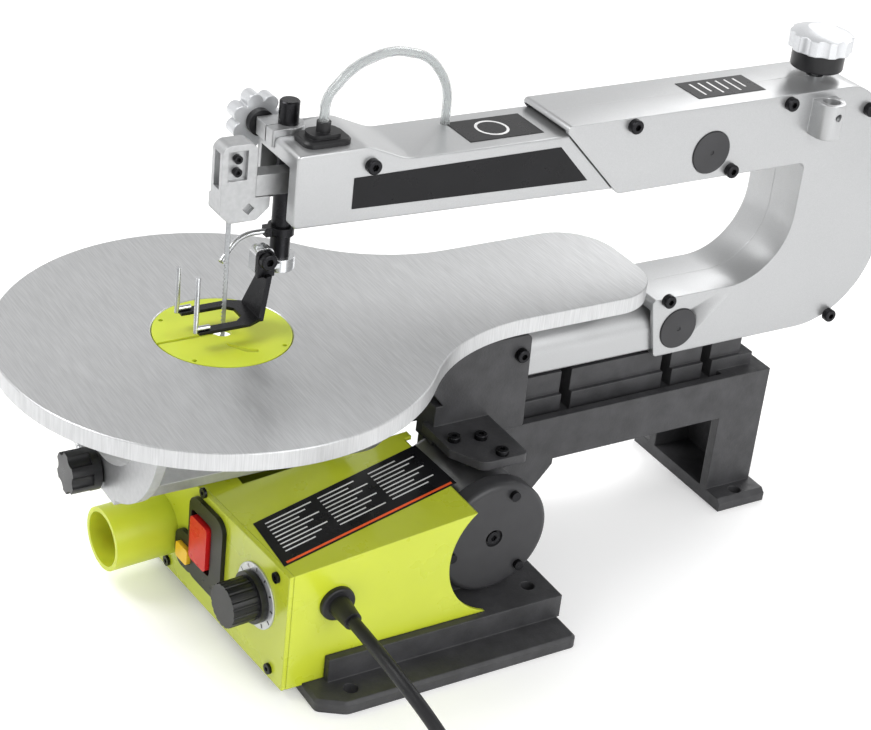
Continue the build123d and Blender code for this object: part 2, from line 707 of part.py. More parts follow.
def add_arms():
    add("upper_rocker_arm", rocker(upper_pivot, upper_front_height, upper_pivot[1]))
    lower = rocker(lower_pivot, lower_front_height, lower_pivot[1])
    lower -= rod_x(-20, 20, motor_y, T + lower_front_height, wrist_pin_radius)
    add("lower_rocker_arm", lower)
    add("upper_pivot_bush", bush(upper_pivot))
    add("lower_pivot_bush", bush(lower_pivot))
    pin = rod_x(-rocker_half_width, rod_left_x + rod_thick + 1, motor_y, T + lower_front_height, wrist_pin_radius)
    add("wrist_pin", pin)

    post = block(-7, clamp_right_x, -9, nose_reach_y, T + 87, T + 121)
    post = fillet(post.edges().filter_by(Axis.X).group_by(Axis.Z)[-1], 6)
    jaw = slab_x(outline([(-9, T + 79), (-9, T + 88), (22, T + 86.8), (22, T + 80), (14, T + 73), (-3, T + 73)],
                         [3, 1, 1, 3, 4, 4]), -9, clamp_right_x)
    clamp = post + jaw
    clamp -= block(clamp_right_x - 3, clamp_right_x + 1, -5, 7, T + 99, T + 117)
    clamp -= block(-4, 3, -10, -4, T + 94, T + 116)
    clamp -= blade_slot(T + 70, T + blade_top + blade_clear)
    drive = Plane.YZ.offset(clamp_right_x) * Pos(9, T + 80.5) * Rot(0, 0, 45) * Rectangle(5, 5)
    clamp -= extrude(drive, -3)
    add("upper_blade_clamp", clamp)
    screws = []
    for height in (104.0, 112.0):
        screw = rod_x(clamp_right_x - 3, clamp_right_x + 0.2, 1.0, T + height, 2.6)
        screw -= extrude(Plane.YZ.offset(clamp_right_x + 0.2) * Pos(1, T + height) * RegularPolygon(1.4, 6), -1.6)
        screws.append(screw)
    screws.append(rod_x(-16, -9, 4, T + 81, 5.5))
    add("blade_clamp_screws", Compound(children=screws))

    lower_clamp = block(-8, 8, -8, nose_reach_y, T - 53, T - 37)
    lower_clamp = fillet(lower_clamp.edges().filter_by(Axis.Z), 2)
    bottom = blade_top - blade_length
    lower_clamp -= blade_slot(T + bottom - blade_clear, T)
    add("lower_blade_clamp", lower_clamp)

    pitch = 2.54
    teeth = 34
    first = -38.0
    points = [(blade_width / 2, T + bottom), (blade_width / 2, T + blade_top), (-blade_width / 2, T + blade_top)]
    for index in range(teeth):
        z = T + first + (teeth - index) * pitch
        points += [(-blade_width / 2, z), (-blade_width / 2 + 0.9, z - pitch * 0.35)]
    points.append((-blade_width / 2, T + first))
    points.append((-blade_width / 2, T + bottom))
    add("saw_blade", slab_x(outline(points), -blade_thick / 2, blade_thick / 2))


def add_tension():
    y = knob_centre_y
    rod = rod_z(0, y, T + lower_pivot[1] - 12, T + upper_top + 18, tension_rod_radius)
    half = rocker_height / 2 + 0.4
    for z0, z1 in ((lower_pivot[1] - half - 5, lower_pivot[1] - half), (upper_pivot[1] + half, upper_pivot[1] + half + 6)):
        rod += rod_z(0, y, T + z0, T + z1, 6.5)
    rod += rod_z(0, y, T + upper_top + 3.4, T + upper_top + 5, 7.0)
    add("tension_rod", rod)
    base = T + upper_top + 5.3
    skirt = rod_z(0, y, base, base + 13, 17.5)
    skirt -= rod_z(0, y, base - 1, base + 10, tension_rod_radius + running_gap)
    skirt -= rod_z(0, y, T, T + upper_top + 20.3, tension_rod_radius + running_gap)
    skirt = fillet(skirt.edges().filter_by(GeomType.CIRCLE).group_by(Axis.Z)[0].sort_by(SortBy.RADIUS)[-1], 1.5)
    add("tension_knob", skirt)
    cap = rod_z(0, y, base + 13, base + 27, 21.0)
    for index in range(10):
        a = math.radians(36 * index)
        cap -= rod_z(27.5 * math.cos(a), y + 27.5 * math.sin(a), base + 12, base + 28, 8.0)
    cap = cap & (Pos(0, y, base + 13 - 34) * Sphere(49.0))
    add("tension_knob_cap", cap)


# ---------------------------------------------------------------- drive
def motor_bolts():
    y, z = motor_y, motor_z
    tip = motor_right_x + cover_depth
    screw = rod_x(tip - 2.5, tip - 0.2, y, z, 4.5)
    screw -= extrude(Plane.YZ.offset(tip - 0.2) * Pos(y, z) * RegularPolygon(2.2, 6), -1.5)
    bolts = [screw]
    for degrees in (70, 190, 310):
        a = math.radians(degrees)
        bolts.append(rod_x(tip, tip + 3, y + 31 * math.cos(a), z + 31 * math.sin(a), 3.2))
    return bolts


def add_drive():
    y, z = motor_y, motor_z
    body = rod_x(motor_left_x, motor_right_x, y, z, motor_radius)
    body = fillet(body.faces().sort_by(Axis.X)[0].edges(), 5)
    body -= rod_x(0, 200, y, z, 24.0) & block(motor_left_x + 4, motor_right_x - 2, 0, 400, 0, 200)
    body -= rod_x(0, motor_right_x + 5, y, z, shaft_radius + running_gap)
    add("motor_body", body)
    cover = rod_x(motor_right_x, motor_right_x + cover_depth, y, z, cover_radius)
    cover = fillet(cover.faces().sort_by(Axis.X)[-1].edges(), 4)
    cover -= rod_x(motor_right_x + cover_depth - 2.5, motor_right_x + cover_depth + 1, y, z, 6)
    cover -= rod_x(motor_right_x - 1, motor_right_x + 8, y, z, shaft_radius + running_gap)
    add("motor_end_cover", cover)

    right = rod_left_x + rod_thick + 1.5
    crank = rod_x(right, right + 6, y, z, 13.0)
    crank += rod_x(right + 6, motor_right_x + 7.5, y, z, shaft_radius)
    crank += rod_x(rod_left_x - 1, right, y, z + crank_throw, crank_pin_radius)
    add("crankshaft", crank)
    rotor = rod_x(motor_left_x + 10, motor_right_x - 14, y, z, 22.0)
    for index in range(12):
        a = math.radians(30 * index)
        rotor -= rod_x(0, 200, y + 22 * math.cos(a), z + 22 * math.sin(a), 1.6)
    rotor -= rod_x(0, 200, y, z, shaft_radius)
    add("motor_rotor", rotor)

    top = T + lower_front_height
    clear = crank_pin_radius + 2 * crank_throw + 0.6
    rod = rod_x(rod_left_x, rod_left_x + rod_thick, y, z, clear + 4)
    rod += rod_x(rod_left_x, rod_left_x + rod_thick, y, top, 7.5)
    rod += block(rod_left_x, rod_left_x + rod_thick, y - 4.5, y + 4.5, z + clear, top)
    rod -= rod_x(0, 50, y, z, clear)
    rod -= rod_x(0, 50, y, top, wrist_pin_radius + running_gap)
    add("connecting_rod", rod)


# ---------------------------------------------------------------- motor housing and controls
panel_front = panel_thick / math.cos(math.radians(panel_yaw)) + 0.05
roof_rise = (housing_top_rear - housing_top_front) / (housing_rear_y - panel_right_y)


def under_roof(drop=0.0):
    """Everything below the housing's sloping top, for trimming."""
    z_at = lambda y: housing_top_front + roof_rise * (y - panel_right_y) - drop
    return slab_x(outline([(-60, -10), (260, -10), (260, z_at(260)), (-60, z_at(-60))]), -200, 200)


def panel_y(x):
    return panel_right_y - (housing_right_x - x) * math.tan(math.radians(panel_yaw))


yaw = math.radians(panel_yaw)
panel_plane = Plane(
    (housing_right_x, panel_right_y, 0),
    x_dir=(math.cos(yaw), math.sin(yaw), 0),
    z_dir=(math.sin(yaw), -math.cos(yaw), 0),
)


def bezel_face(grow=0.0):
    g = grow
    main = Pos(-90, 52) * RectangleRounded(40 + 2 * g, 58 + 2 * g, 9 + g)
    lobe = Pos(-113, 36) * RectangleRounded(24 + 2 * g, 26 + 2 * g, 9 + g)
    return main + lobe


def on_panel(face, low, high):
    return extrude(panel_plane.offset(low) * face, high - low)


def housing_plan(inset, front):
    g = inset
    left, right = housing_left_x + g, housing_right_x - g
    return make_face(Polyline(
        (left, panel_y(left) + front), (right, panel_y(right) + front),
        (right, housing_rear_y), (left, housing_rear_y), close=True))


def add_housing():
    skin = slab_z(housing_plan(0, panel_front), housing_bottom, 130) & under_roof()
    left_cut = slab_y(outline([(housing_left_x - 1, 130), (housing_left_x - 1, 66), (housing_left_x + 24, 130)]),
                      -100, 300)
    skin -= left_cut
    inner = slab_z(housing_plan(housing_wall, panel_thick - 1), 0, 130) & under_roof(housing_wall)
    inner -= Pos(housing_wall * 1.2, 0, -housing_wall * 1.2) * left_cut
    open_back = Pos(0, 10, 0) * (slab_z(housing_plan(housing_wall, 20), 0, 130) & under_roof(housing_wall))
    inner += open_back & block(rear_wall_end_x, housing_right_x, -100, 300, 0, 130)
    skin -= inner
    skin -= rod_x(motor_left_x - 1, housing_right_x + 5, motor_y + 4, motor_z, cover_radius + 5.5)
    skin -= rod_x(housing_right_x - 10, housing_right_x + 5, gland_y, gland_z, gland_hole)
    skin -= block(-15, 15, 12, 200, 70, 130)
    skin -= block(-42, motor_right_x + 6, 125, 200, 92, 130)
    skin -= block(flange_left_x, flange_right_x, flange_front_y - slip_gap, 400, 0, flange_thick + slip_gap)
    skin -= block(block_left_x - slip_gap, flange_right_x, 24 - slip_gap, 400, 0, block_top + slip_gap)
    add("motor_housing", skin)

    width = (housing_right_x - housing_left_x) / math.cos(yaw)
    face = make_face(Polyline((0, housing_bottom), (0, 120), (-width, 120), (-width, housing_bottom), close=True))
    panel = on_panel(face, -panel_thick, 0) & under_roof()
    panel -= left_cut
    panel -= on_panel(bezel_face(-2.5), -10, 10)
    panel -= on_panel(Pos(*dial_at) * Circle(4.0), -10, 10)
    panel -= on_panel(Pos(*port_at) * Circle(port_bore), -10, 10)
    add("control_panel", panel)

    port = on_panel(Pos(*port_at) * Circle(port_outer), 0, port_length)
    port -= on_panel(Pos(*port_at) * Circle(port_bore), -5, port_length + 5)
    add("dust_port", port)

    screws = []
    for u, v in ((-13.0, 79.5), (-14.5, 13.5), (-98.0, 86.5), (-138.0, 12.0)):
        head = on_panel(Pos(u, v) * Circle(3.4), 0, 1.8)
        head -= on_panel(Pos(u, v) * RegularPolygon(1.5, 6), 0.6, 2.5)
        screws.append(head)
    add("cover_screws", Compound(children=screws + motor_bolts()))

    bezel = on_panel(bezel_face(), 0, bezel_depth) + on_panel(bezel_face(-2.8), -12, 0)
    bezel -= on_panel(Pos(*paddle_at) * RectangleRounded(24, 36, 3), -10, 10)
    bezel -= on_panel(Pos(*key_at) * RectangleRounded(15, 12, 2), -10, 10)
    add("switch_bezel", bezel)
    paddle = on_panel(Pos(*paddle_at) * RectangleRounded(20, 31, 3), -6, 5)
    add("switch_paddle", paddle)
    key = on_panel(Pos(*key_at) * RectangleRounded(14, 11, 2), -8, 5.5)
    add("safety_key", key)

    dial = on_panel(Pos(*dial_at) * Circle(dial_radius), 0, 1.2)
    dial -= on_panel(Pos(*dial_at) * Circle(4.0), -1, 2)
    add("dial_plate", dial)
    pot = on_panel(Pos(*dial_at) * Circle(8.0), -13, -panel_thick)
    pot -= on_panel(Pos(*dial_at) * Circle(3.1), -8, 0)
    knob = on_panel(Pos(*dial_at) * Circle(knob_radius + 2.5), 1.7, 6)
    knob += on_panel(Pos(*dial_at) * Circle(knob_radius), 6, knob_length)
    for index in range(18):
        knob -= on_panel(Pos(*dial_at) * Rot(0, 0, 20 * index) * Pos(knob_radius + 0.6, 0) * Circle(1.2), 6, 30)
    knob += on_panel(Pos(*dial_at) * Circle(3.0), -7.5, 1.7)
    add("speed_knob", knob)

    x = housing_right_x
    gland = rod_x(x, x + 3.5, gland_y, gland_z, 11.0)
    gland = fillet(gland.faces().sort_by(Axis.X)[-1].edges(), 1.5)
    gland += rod_x(x - 8, x, gland_y, gland_z, gland_hole)
    cone = Plane.YZ.offset(x + 3.5) * Pos(gland_y, gland_z)
    gland += extrude(cone * Circle(7.0), gland_length - 3.5, taper=5)
    add("cord_gland", gland)
    board = block(-60, -4, 6, 8, 34, 84)
    for x0, x1, z0, z1 in ((-54, -40, 40, 58), (-34, -22, 44, 52), (-18, -8, 60, 76)):
        board += block(x0, x1, 8, 16, z0, z1)
    add("speed_control", Compound(children=[pot, board]))


# ---------------------------------------------------------------- hold-down, foot and blower nozzle
nozzle_points = [
    (post_x, post_y - post_radius, T + clip_height),
    (post_x, 14.0, T + clip_height),
    (-5.0, -1.0, T + 43.5),
]


def add_hold_down():
    post = rod_z(post_x, post_y, T + post_bottom, T + post_top, post_radius)
    add("hold_down_post", chamfer(post.faces().sort_by(Axis.Z)[-1].edges(), 0.8))

    plate_x = -1.0
    tab_thick = 3.0
    z0, z1 = foot_ring
    y, z = foot_screw_y, T + foot_screw_height
    clamp = rod_z(post_x, post_y, T + z0, T + z1, post_radius + 3.5)
    bracket = block(plate_x - 8, plate_x, y - 6, y + 6, T + z1 - 3, z + 6)
    clamp += fillet(bracket.edges().filter_by(Axis.X).group_by(Axis.Z)[-1], 4.0)
    clamp += block(plate_x - 8, plate_x, y + 5, post_y - 5, T + z1 - 3, T + z1)
    clamp -= rod_z(post_x, post_y, 0, T + 100, post_radius)
    clamp -= rod_x(plate_x - 9, plate_x + 1, y, z, foot_screw_radius)
    add("foot_clamp", clamp)
    screw_face = plate_x + tab_thick
    screw = rod_x(plate_x - 7, screw_face, y, z, foot_screw_radius)
    head = rod_x(screw_face, screw_face + 4.5, y, z, 5.2)
    screw += fillet(head.faces().sort_by(Axis.X)[-1].edges(), 1.0)
    screw -= extrude(Plane.YZ.offset(screw_face + 4.5) * Pos(y, z) * RegularPolygon(2.4, 6), -3)
    add("foot_screws", screw)

    h = T + foot_height
    plate = 2.0
    prong_inner, prong_outer = 9.5, 15.5
    fork = slab_z(make_face(Polyline(
        (prong_outer, -22), (prong_outer, 10), (11, 20), (-11, 20), (-prong_outer, 10), (-prong_outer, -22),
        (-prong_inner, -22), (-prong_inner, 4), (-5, 9), (5, 9), (prong_inner, 4), (prong_inner, -22), close=True)),
        h, h + plate)
    web_top = T + z1 - 3.5
    web = slab_x(outline([(16.5, h), (20, h), (27, web_top), (24, web_top)]), -12, 12)
    web &= slab_y(outline([(-12, h), (12, h), (6, web_top), (-6, web_top)]), 0, 40)
    tab = block(plate_x, plate_x + tab_thick, y - 5.5, y + 5.5, web_top - 2, z + 5.5)
    fork += web + fillet(tab.edges().filter_by(Axis.X).group_by(Axis.Z)[-1], 4.0)
    fork -= rod_x(plate_x - 1, plate_x + tab_thick + 1, y, z, foot_screw_radius)
    add("drop_foot", fork)
    guards = []
    for x, top in ((prong_outer - 2.5, 46.0), (-prong_outer + 2.5, 40.0)):
        guard = rod_z(x, -23.5, h + 1.0, T + top, 1.5)
        guard += rod_y(x, -24.0, -15.0, h + plate + 1.5, 1.5)
        guards.append(guard)
    add("finger_guards", Compound(children=guards))

    tube, length = tube_along(nozzle_points, nozzle_radius, nozzle_radius - 0.7)
    add("blower_nozzle", tube)
    z = T + clip_height
    clip = rod_z(post_x, post_y, z - 2.8, z + 2.8, post_radius + 2.0)
    clip += block(post_x - 3.2, post_x + 3.2, post_y - post_radius - 5, post_y - 5, z - 2.8, z + 2.8)
    clip -= rod_z(post_x, post_y, 0, T + 100, post_radius)
    clip -= rod_y(post_x, 0, post_y - 5, z, nozzle_radius)
    add("nozzle_clip", clip)

    z = T + lock_height
    hub_end = ear_left_x - 5
    hub = rod_x(hub_end, post_x + 4, lock_y, z, lock_screw_radius)
    hub += rod_x(hub_end, ear_left_x - 0.4, lock_y, z, 8.0)
    add("hold_down_screw", hub)
    star = rod_x(hub_end - 10, hub_end, lock_y, z, 12.0)
    for index in range(7):
        a = 2 * math.pi * index / 7
        star += rod_x(hub_end - 10, hub_end, lock_y + 12 * math.cos(a), z + 12 * math.sin(a), 4.8)
    add("hold_down_knob", star)


# ---------------------------------------------------------------- mains cord
cord_points = [
    (housing_right_x + gland_length, gland_y, gland_z),
    (158.0, gland_y, gland_z),
    (184.0, 30.0, 57.5),
    (208.0, 35.0, 48.0),
    (230.0, 42.0, 32.0),
    (252.0, 50.0, 14.5),
    (275.0, 58.5, 4.6),
    (301.0, 66.0, 4.6),
    (322.0, 70.0, 4.6),
]


def add_cord():
    pitch = 2 * cord_radius + 0.3
    spread = pitch * coil_rows / 2
    coil_base = 0.5
    coil_top = coil_base + coil_layers * pitch
    coil = rod_z(coil_x, coil_y, coil_base, coil_top, coil_radius + spread)
    coil -= rod_z(coil_x, coil_y, -1, coil_top + 1, coil_radius - spread)
    add("cord_coil", coil)
    tube, length = tube_along(cord_points, cord_radius)
    print("cord tube", round(length, 1), "mm, section x length over volume",
          round(math.pi * cord_radius ** 2 * length / tube.volume, 4))
    print("cord radii", [round(radius, 1) for radius in run_radii(cord_points)])
    add("mains_cord", tube - coil)

    x, y, z = coil_x - 6, coil_y + coil_radius, coil_top + 0.2 + plug_thick / 2
    body = block(x - plug_length, x, y - plug_width / 2, y + plug_width / 2, z - plug_thick / 2, z + plug_thick / 2)
    body = chamfer(body.edges().filter_by(Axis.X), 4.0)
    boot = rod_x(x, x + 22, y, z - 1.5, cord_radius + 1.2)
    blades = [block(x - plug_length - 17, x - plug_length + 1, y + side - 0.75, y + side + 0.75, z - 3.2, z + 3.2)
              for side in (-6.35, 6.35)]
    add("mains_plug", body + boot + blades[0] + blades[1])


def write_parts():
    os.makedirs("parts", exist_ok=True)
    for name, shape in parts.items():
        export_step(shape, os.path.join("parts", name + ".step"))


add_housings()
add_frame_hardware()
add_table()
add_table_support()
add_base()
add_cradle()
add_arms()
add_tension()
add_drive()
add_housing()
add_hold_down()
add_cord()
write_parts()
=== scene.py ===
import json
import math

import bmesh
import bpy
from mathutils import Matrix, Vector


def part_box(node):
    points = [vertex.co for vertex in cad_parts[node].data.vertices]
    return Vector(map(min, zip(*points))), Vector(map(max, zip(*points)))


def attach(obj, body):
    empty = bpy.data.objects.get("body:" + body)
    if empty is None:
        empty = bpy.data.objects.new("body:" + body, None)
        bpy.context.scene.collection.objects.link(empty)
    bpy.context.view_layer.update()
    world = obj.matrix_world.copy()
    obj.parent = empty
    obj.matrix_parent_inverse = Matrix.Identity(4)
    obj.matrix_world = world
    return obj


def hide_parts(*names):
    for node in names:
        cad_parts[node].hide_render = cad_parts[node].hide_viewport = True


# Bench scroll saw. Lengths are millimetres in the saw's own frame, unless their names end in _m: X to the
# operator's right, Y along the arm away from the operator, Z up from the table surface, with the blade line
# at X = 0, Y = 0. at() turns such a point into the row frame, in metres. The camera, the lights and the floor
# are placed in the row frame itself.

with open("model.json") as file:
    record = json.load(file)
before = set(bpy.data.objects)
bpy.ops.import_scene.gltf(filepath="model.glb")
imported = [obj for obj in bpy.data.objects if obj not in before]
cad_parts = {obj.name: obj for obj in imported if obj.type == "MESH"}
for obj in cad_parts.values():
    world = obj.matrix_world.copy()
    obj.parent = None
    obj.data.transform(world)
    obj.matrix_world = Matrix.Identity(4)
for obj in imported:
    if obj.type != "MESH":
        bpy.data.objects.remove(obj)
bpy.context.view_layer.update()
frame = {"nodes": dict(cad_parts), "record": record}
nodes = frame["nodes"]

MM = 0.001
blade_low, blade_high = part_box("saw_blade")
table_low, table_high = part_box("table")
ORIGIN = Vector(((blade_low[0] + blade_high[0]) / 2, (blade_low[1] + blade_high[1]) / 2, table_high[2]))
BENCH = -table_high[2] / MM


def at(x, y, z):
    return ORIGIN + Vector((x, y, z)) * MM


# ---------------------------------------------------------------- materials
class Shader:
    """A principled material with small helpers for procedural detail."""

    def __init__(self, name, colour, roughness, metallic=0.0, bevel_m=0.0004):
        self.material = bpy.data.materials.new(name)
        self.material.use_nodes = True
        self.tree = self.material.node_tree
        self.main = self.tree.nodes["Principled BSDF"]
        self.main.inputs["Base Color"].default_value = (*colour, 1)
        self.main.inputs["Roughness"].default_value = roughness
        self.main.inputs["Metallic"].default_value = metallic
        self.colour = colour
        self.roughness = roughness
        bevel = self.node("ShaderNodeBevel", Radius=bevel_m)
        bevel.samples = 6
        self.normal = bevel.outputs["Normal"]
        self.tree.links.new(self.normal, self.main.inputs["Normal"])

    def node(self, kind, **values):
        made = self.tree.nodes.new(kind)
        for key, value in values.items():
            made.inputs[key].default_value = value
        return made

    def noise(self, scale, detail=3.0, stretch=(1, 1, 1)):
        """Noise in object space, scale in waves per metre."""
        coords = self.node("ShaderNodeTexCoord")
        mapping = self.node("ShaderNodeMapping", Scale=stretch)
        noise = self.node("ShaderNodeTexNoise", Scale=scale, Detail=detail)
        self.tree.links.new(coords.outputs["Object"], mapping.inputs["Vector"])
        self.tree.links.new(mapping.outputs["Vector"], noise.inputs["Vector"])
        return noise.outputs["Fac"]

    def ramp(self, source, low, high, start=0.3, end=0.7):
        ramp = self.node("ShaderNodeMapRange")
        for key, value in (("From Min", start), ("From Max", end), ("To Min", low), ("To Max", high)):
            ramp.inputs[key].default_value = value
        self.tree.links.new(source, ramp.inputs["Value"])
        return ramp.outputs["Result"]

    def vary_roughness(self, source, spread):
        result = self.ramp(source, self.roughness - spread, self.roughness + spread)
        self.tree.links.new(result, self.main.inputs["Roughness"])

    def vary_colour(self, source, other, start=0.35, end=0.7):
        mix = self.node("ShaderNodeMix")
        mix.data_type = "RGBA"
        mix.inputs[6].default_value = (*self.colour, 1)
        mix.inputs[7].default_value = (*other, 1)
        self.tree.links.new(self.ramp(source, 0, 1, start, end), mix.inputs[0])
        self.tree.links.new(mix.outputs[2], self.main.inputs["Base Color"])

    def bump(self, source, height_m, strength=1.0):
        bump = self.node("ShaderNodeBump", Strength=strength, Distance=height_m)
        self.tree.links.new(source, bump.inputs["Height"])
        self.tree.links.new(self.normal, bump.inputs["Normal"])
        self.normal = bump.outputs["Normal"]
        self.tree.links.new(self.normal, self.main.inputs["Normal"])


def shade(colour, factor):
    return tuple(min(1.0, channel * factor) for channel in colour)


def silver_paint():
    """Satin silver lacquer over a die casting, with a fine metallic fleck."""
    s = Shader("silver_paint", (0.40, 0.405, 0.41), 0.34, metallic=0.75, bevel_m=0.0010)
    s.main.inputs["Coat Weight"].default_value = 0.25
    s.main.inputs["Coat Roughness"].default_value = 0.25
    s.vary_colour(s.noise(3500, 2), (0.47, 0.475, 0.48))
    s.vary_roughness(s.noise(30, 4), 0.05)
    s.bump(s.noise(1600, 3), 0.00003, 0.5)
    return s.material


def table_alloy():
    """Ground aluminium, brushed across the table."""
    s = Shader("table_alloy", (0.50, 0.505, 0.51), 0.38, metallic=0.85)
    s.vary_colour(s.noise(60, 6, (1, 22, 1)), (0.60, 0.605, 0.61))
    s.vary_roughness(s.noise(45, 5, (1, 18, 1)), 0.07)
    s.bump(s.noise(120, 5, (1, 25, 1)), 0.00003, 0.4)
    return s.material


def cast_alloy():
    s = Shader("cast_alloy", (0.42, 0.425, 0.43), 0.40, metallic=0.85, bevel_m=0.0006)
    s.vary_colour(s.noise(300, 4), (0.47, 0.475, 0.48))
    s.vary_roughness(s.noise(160, 4), 0.05)
    s.bump(s.noise(900, 4), 0.00004, 0.4)
    return s.material


def lime_paint():
    """Gloss lime paint with the slightest orange peel."""
    s = Shader("lime_paint", (0.50, 0.565, 0.028), 0.30, bevel_m=0.0012)
    s.main.inputs["Coat Weight"].default_value = 0.35
    s.main.inputs["Coat Roughness"].default_value = 0.15
    s.vary_colour(s.noise(18, 4), (0.46, 0.525, 0.024))
    s.vary_roughness(s.noise(40, 4), 0.05)
    s.bump(s.noise(420, 2), 0.00004, 0.35)
    return s.material


def lime_plastic():
    s = Shader("lime_plastic", (0.50, 0.57, 0.03), 0.40)
    s.main.inputs["Subsurface Weight"].default_value = 0.05
    s.vary_colour(s.noise(25, 4), (0.46, 0.525, 0.026))
    s.bump(s.noise(1500, 3), 0.00004, 0.4)
    return s.material


def dark_iron():
    """Dark grey satin paint on a sand casting: a soft pebbled skin with lighter rubbed patches."""
    s = Shader("dark_iron", (0.030, 0.030, 0.032), 0.46, bevel_m=0.0012)
    s.main.inputs["Specular IOR Level"].default_value = 0.4
    s.vary_colour(s.noise(70, 6), (0.046, 0.046, 0.049))
    s.vary_roughness(s.noise(200, 4), 0.08)
    s.bump(s.noise(650, 5), 0.00018, 0.7)
    return s.material


def moulded(name, colour, roughness, grain=1400, specular=0.35):
    s = Shader(name, colour, roughness)
    s.main.inputs["Specular IOR Level"].default_value = specular
    s.vary_colour(s.noise(40, 3), shade(colour, 1.25))
    s.vary_roughness(s.noise(90, 4), 0.05)
    s.bump(s.noise(grain, 3), 0.00005, 0.5)
    return s.material


def silver_plastic():
    s = Shader("silver_plastic", (0.55, 0.56, 0.58), 0.30, metallic=0.6, bevel_m=0.0010)
    s.vary_colour(s.noise(2500, 2), (0.66, 0.67, 0.68))
    s.vary_roughness(s.noise(40, 4), 0.05)
    return s.material


def steel(name, colour, roughness, stretch=(1, 1, 1)):
    s = Shader(name, colour, roughness, metallic=0.9)
    s.vary_colour(s.noise(150, 5, stretch), shade(colour, 0.85))
    s.vary_roughness(s.noise(220, 5, stretch), 0.06)
    s.bump(s.noise(900, 4, stretch), 0.00002, 0.4)
    return s.material


def black_rubber():
    s = Shader("black_rubber", (0.007, 0.007, 0.008), 0.45)
    s.main.inputs["Specular IOR Level"].default_value = 0.35
    s.vary_colour(s.noise(60, 4), (0.013, 0.013, 0.014))
    s.bump(s.noise(1200, 4), 0.00006, 0.6)
    return s.material


def clear_hose():
    """Clear soft tube, faintly grey, with its roughness varied by noise."""
    s = Shader("clear_hose", (0.66, 0.68, 0.68), 0.08, bevel_m=0.0001)
    s.main.inputs["Transmission Weight"].default_value = 0.8
    s.main.inputs["IOR"].default_value = 1.35
    s.vary_roughness(s.noise(120, 3), 0.04)
    return s.material


MATERIALS = {
    "silver_paint": silver_paint(),
    "table_alloy": table_alloy(),
    "cast_alloy": cast_alloy(),
    "lime_paint": lime_paint(),
    "lime_plastic": lime_plastic(),
    "dark_iron": dark_iron(),
    "dark_plastic": moulded("dark_plastic", (0.026, 0.026, 0.028), 0.42),
    "black_plastic": moulded("black_plastic", (0.008, 0.008, 0.009), 0.32),
    "silver_plastic": silver_plastic(),
    "motor_steel": steel("motor_steel", (0.30, 0.30, 0.31), 0.35),
    "black_rubber": black_rubber(),
    "clear_hose": clear_hose(),
    "black_steel": steel("black_steel", (0.022, 0.022, 0.024), 0.30),
    "bright_steel": steel("bright_steel", (0.62, 0.63, 0.64), 0.20),
    "blade_steel": steel("blade_steel", (0.36, 0.37, 0.38), 0.34, (1, 1, 8)),
    "bronze": steel("bronze", (0.48, 0.32, 0.14), 0.40),
    "red_plastic": moulded("red_plastic", (0.55, 0.012, 0.012), 0.30, 900),
    "yellow_plastic": moulded("yellow_plastic", (0.75, 0.45, 0.02), 0.32, 900),
    "board_green": moulded("board_green", (0.02, 0.14, 0.06), 0.40),
}
LABEL_DARK = moulded("label_dark", (0.006, 0.006, 0.007), 0.30, 300, 0.2)
LABEL_LIGHT = moulded("label_light", (0.62, 0.62, 0.62), 0.35, 300)
LABEL_ORANGE = moulded("label_orange", (0.75, 0.10, 0.02), 0.32, 300)


def dress_nodes():
    """Each CAD node gets the material of its slot in the record."""
    for row in frame["record"]["subparts"]:
        node = nodes.get(row["node"])
        if node is None:
            continue
        node.data.materials.clear()
        node.data.materials.append(MATERIALS[row["material_slot"]])


# ---------------------------------------------------------------- mesh helpers
SHARPEST_FLAT = 40.0                 # degrees: a flatter edge isn't rounded
FLAT_JOIN = 0.5                      # degrees: triangles nearer in line than this are one face
PLATE_EDGE = 0.3                     # rounding of a plate's edges, as a share of its thickness


def piece(name, mesh, material, body, smooth_degrees=None):
    made = bpy.data.objects.new(name, mesh)
    bpy.context.scene.collection.objects.link(made)
    mesh.materials.clear()
    mesh.materials.append(material)
    if smooth_degrees:
        mesh.shade_smooth()
        mesh.set_sharp_from_angle(angle=math.radians(smooth_degrees))
    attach(made, body)
    return made


def softened(node_name, radius, chosen, segments=5):
    """A copy of a CAD node whose chosen convex outer edges are rounded, in place of the node."""
    node = nodes[node_name]
    work = bmesh.new()
    work.from_mesh(node.data)
    bmesh.ops.remove_doubles(work, verts=work.verts, dist=1e-6)
    bmesh.ops.dissolve_limit(work, angle_limit=math.radians(FLAT_JOIN), verts=work.verts, edges=work.edges)
    edges = [edge for edge in work.edges if len(edge.link_faces) == 2 and edge.is_convex
             and edge.calc_face_angle(0) > math.radians(SHARPEST_FLAT)
             and chosen(*((vert.co - ORIGIN) / MM for vert in edge.verts))]
    bmesh.ops.bevel(work, geom=edges, offset=radius * MM, segments=segments, profile=0.5, affect="EDGES",
                    clamp_overlap=True)
    mesh = bpy.data.meshes.new(node_name + "_rounded")
    work.to_mesh(mesh)
    work.free()
    slot = node.data.materials[0]
    made = piece(node_name + "_rounded", mesh, slot, "root", 35)
    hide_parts(node_name)
    return made


